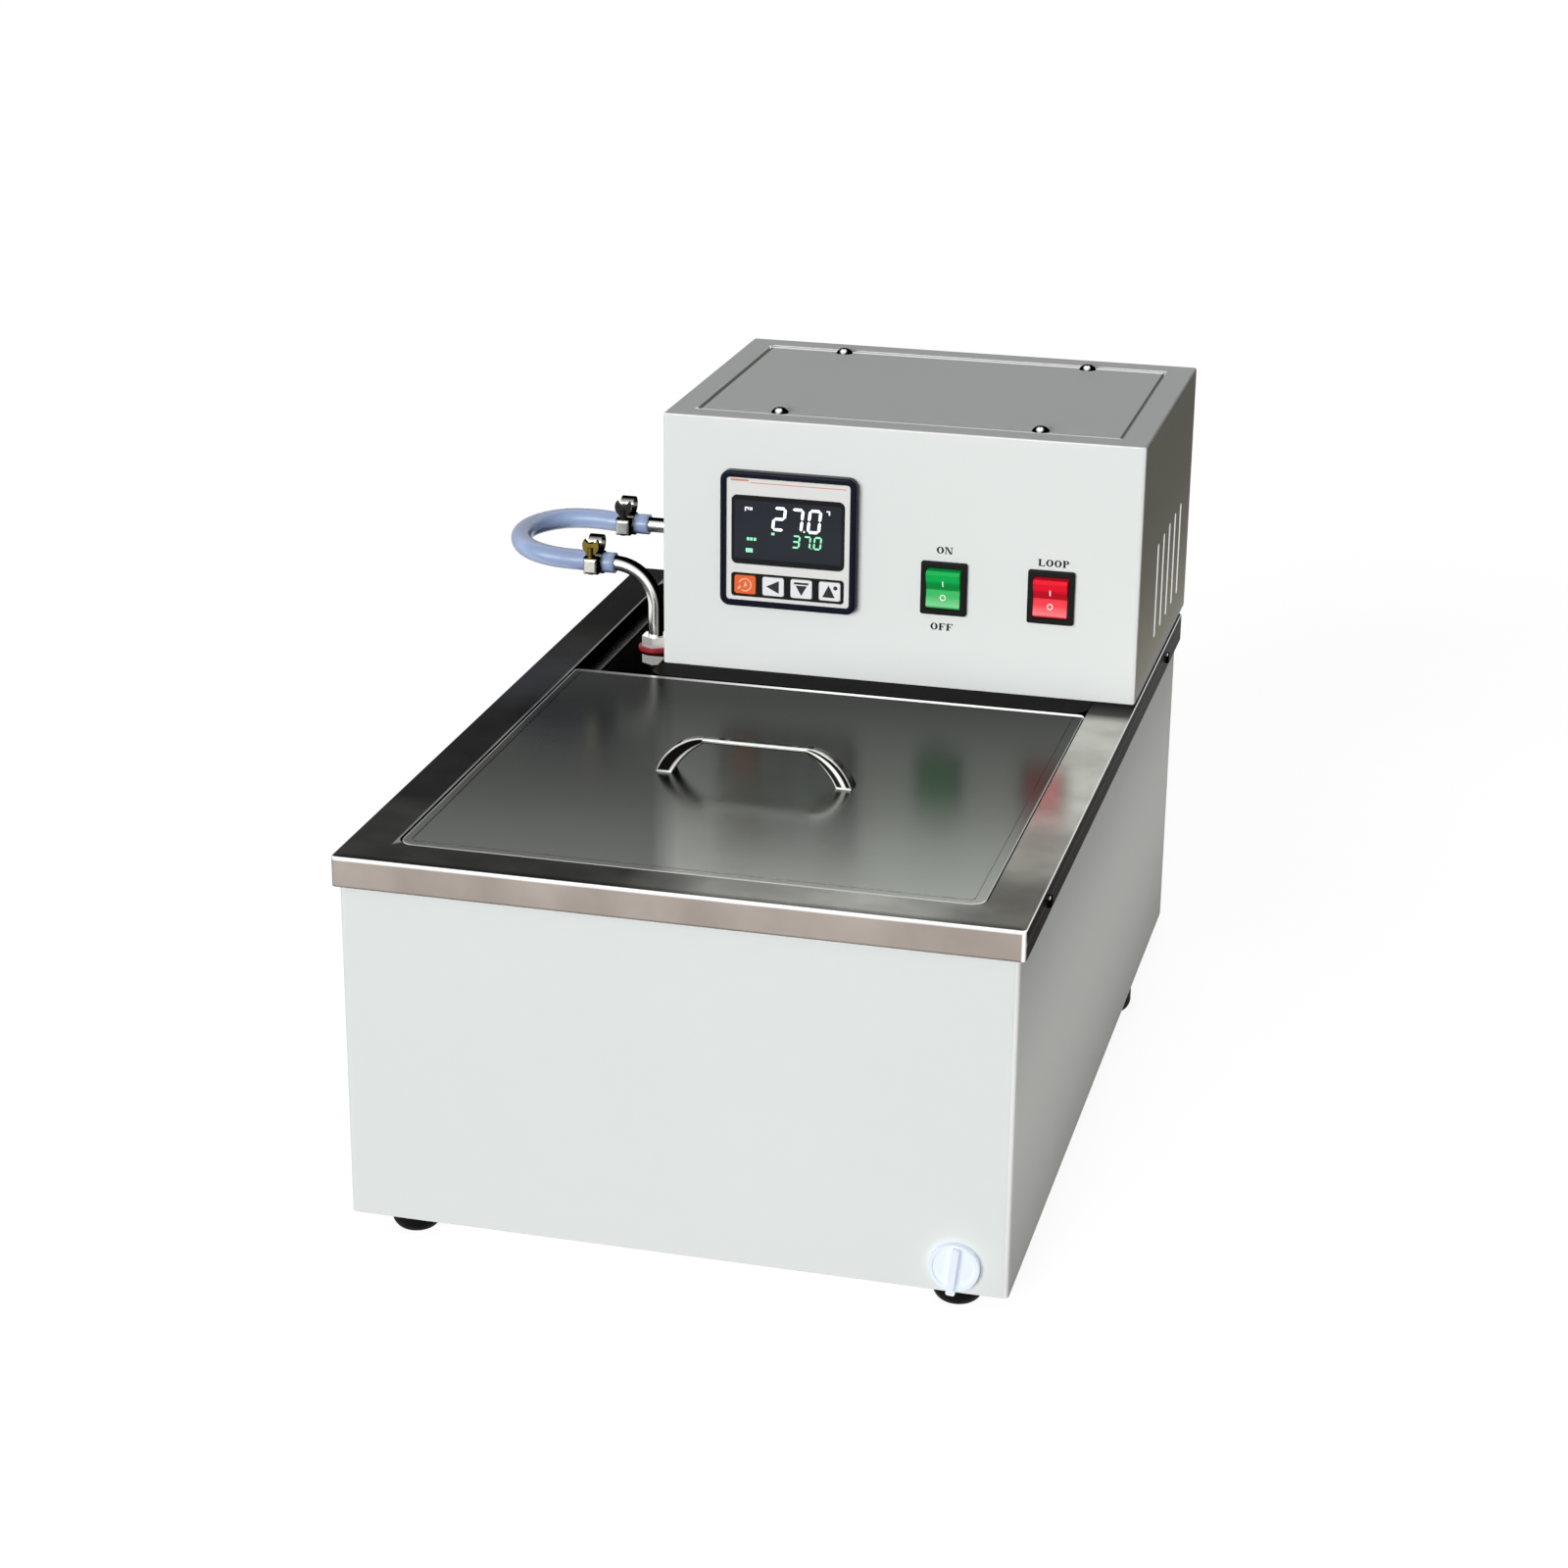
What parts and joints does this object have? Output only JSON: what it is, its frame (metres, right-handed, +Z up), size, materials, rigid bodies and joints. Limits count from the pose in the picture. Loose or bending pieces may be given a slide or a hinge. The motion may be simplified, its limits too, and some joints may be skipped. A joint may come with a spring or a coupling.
{
  "type": "thermostatic water bath",
  "caption": "Insulated steel laboratory water bath with a lift-off lid, a control head with a temperature controller and rocker switches, a circulation pump and a looped return hose.",
  "frame": {"origin": "on the surface that the feet stand on, under the middle of the rigid object's plan", "axes": "+Z up, +Y to the rear where the mains inlet is, +X to the operator's right with the drain"},
  "size_m": [0.349, 0.501, 0.3264],
  "materials": {
    "white_enamel": "fine textured white powder coat on folded steel sheet",
    "galvanised": "galvanised steel sheet with a faint spangle",
    "stainless": "satin brushed stainless steel sheet and tube",
    "screw_steel": "bright zinc-plated steel",
    "chrome_plate": "polished chrome plating on cast zinc",
    "screen_fabric": "pale woven dust screen",
    "black_rubber": "moulded black rubber",
    "mineral_wool": "fibrous mineral wool slab",
    "white_plastic": "moulded white polypropylene",
    "navy_plastic": "moulded dark blue plastic",
    "grey_film": "light grey printed film on moulded plastic",
    "display_glass": "smoked acrylic display window",
    "black_plastic": "moulded black nylon",
    "orange_key": "moulded orange key cap",
    "grey_key": "moulded light grey key cap",
    "green_lens": "translucent green lit rocker",
    "red_lens": "translucent red lit rocker",
    "motor_steel": "dark painted steel motor can",
    "nut_brass": "nickel-plated brass nut",
    "red_silicone": "moulded red silicone",
    "clear_hose": "translucent bluish soft hose",
    "clamp_steel": "zinc-plated steel band",
    "clamp_brass": "yellow-passivated steel thumb screw",
    "sink_aluminium": "extruded anodised aluminium",
    "relay_plastic": "moulded light relay body"
  },
  "bodies": {
    "bath": {"outer_casing": "white_enamel", "bottom_plate": "galvanised", "foot_front_left": "black_rubber", "foot_front_right": "black_rubber", "foot_rear_left": "black_rubber", "foot_rear_right": "black_rubber", "foot_screws": "screw_steel", "top_rim": "stainless", "rim_screws": "screw_steel", "inner_tank": "stainless", "insulation": "mineral_wool", "drain_pipe": "stainless", "lid": "stainless", "lid_handle": "chrome_plate", "handle_screws": "screw_steel", "rear_deck": "stainless", "head_base_plate": "galvanised", "head_housing": "white_enamel", "vent_screen": "screen_fabric", "head_top_cover": "white_enamel", "cover_screws": "screw_steel", "controller_case": "navy_plastic", "controller_fascia": "grey_film", "display_window": "display_glass", "key_bezel": "black_plastic", "key_pad": "black_rubber", "power_switch_body": "black_plastic", "loop_switch_body": "black_plastic", "pump_motor": "motor_steel", "pump_housing": "stainless", "pump_column": "stainless", "shaft_bush": "white_plastic", "outlet_pipe": "stainless", "outlet_grommet": "black_rubber", "return_pipe": "stainless", "union_nuts": "nut_brass", "seal_ring": "red_silicone", "circulation_hose": "clear_hose", "outlet_clamp_band": "clamp_steel", "outlet_clamp_screw": "clamp_brass", "return_clamp_band": "clamp_steel", "return_clamp_screw": "clamp_brass", "heater_tube": "stainless", "immersion_glands": "nut_brass", "temperature_probe": "stainless", "heat_sink": "sink_aluminium", "relay": "relay_plastic", "terminal_block": "white_plastic", "power_inlet": "black_plastic", "fuse_holder": "black_plastic"},
    "power_rocker": {"power_rocker": "green_lens"},
    "loop_rocker": {"loop_rocker": "red_lens"},
    "run_key": {"run_key": "orange_key"},
    "shift_key": {"shift_key": "grey_key"},
    "down_key": {"down_key": "grey_key"},
    "up_key": {"up_key": "grey_key"},
    "drain_plug": {"drain_plug": "white_plastic"},
    "pump_rotor": {"pump_shaft": "stainless", "motor_fan": "black_plastic", "impeller": "white_plastic"}
  },
  "joints": [
    {"name": "power_rocker_tilt", "type": "hinge", "parent": "bath", "child": "power_rocker", "pos_m": [0.0561, 0.0607, 0.243], "axis": [-1, 0, 0], "range_deg": [0, 12]},
    {"name": "loop_rocker_tilt", "type": "hinge", "parent": "bath", "child": "loop_rocker", "pos_m": [0.1115, 0.0607, 0.243], "axis": [-1, 0, 0], "range_deg": [0, 12]},
    {"name": "run_key_press", "type": "slide", "parent": "bath", "child": "run_key", "axis": [0, 1, 0], "range_m": [0, 0.0006], "stiffness_N_per_m": 900},
    {"name": "shift_key_press", "type": "slide", "parent": "bath", "child": "shift_key", "axis": [0, 1, 0], "range_m": [0, 0.0006], "stiffness_N_per_m": 900},
    {"name": "down_key_press", "type": "slide", "parent": "bath", "child": "down_key", "axis": [0, 1, 0], "range_m": [0, 0.0006], "stiffness_N_per_m": 900},
    {"name": "up_key_press", "type": "slide", "parent": "bath", "child": "up_key", "axis": [0, 1, 0], "range_m": [0, 0.0006], "stiffness_N_per_m": 900},
    {"name": "drain_plug_pull", "type": "slide", "parent": "bath", "child": "drain_plug", "axis": [0, -1, 0], "range_m": [0, 0.018]},
    {"name": "pump_rotor_spin", "type": "hinge", "parent": "bath", "child": "pump_rotor", "pos_m": [0.05, 0.148, 0.191], "axis": [0, 0, 1], "continuous": true}
  ]
}
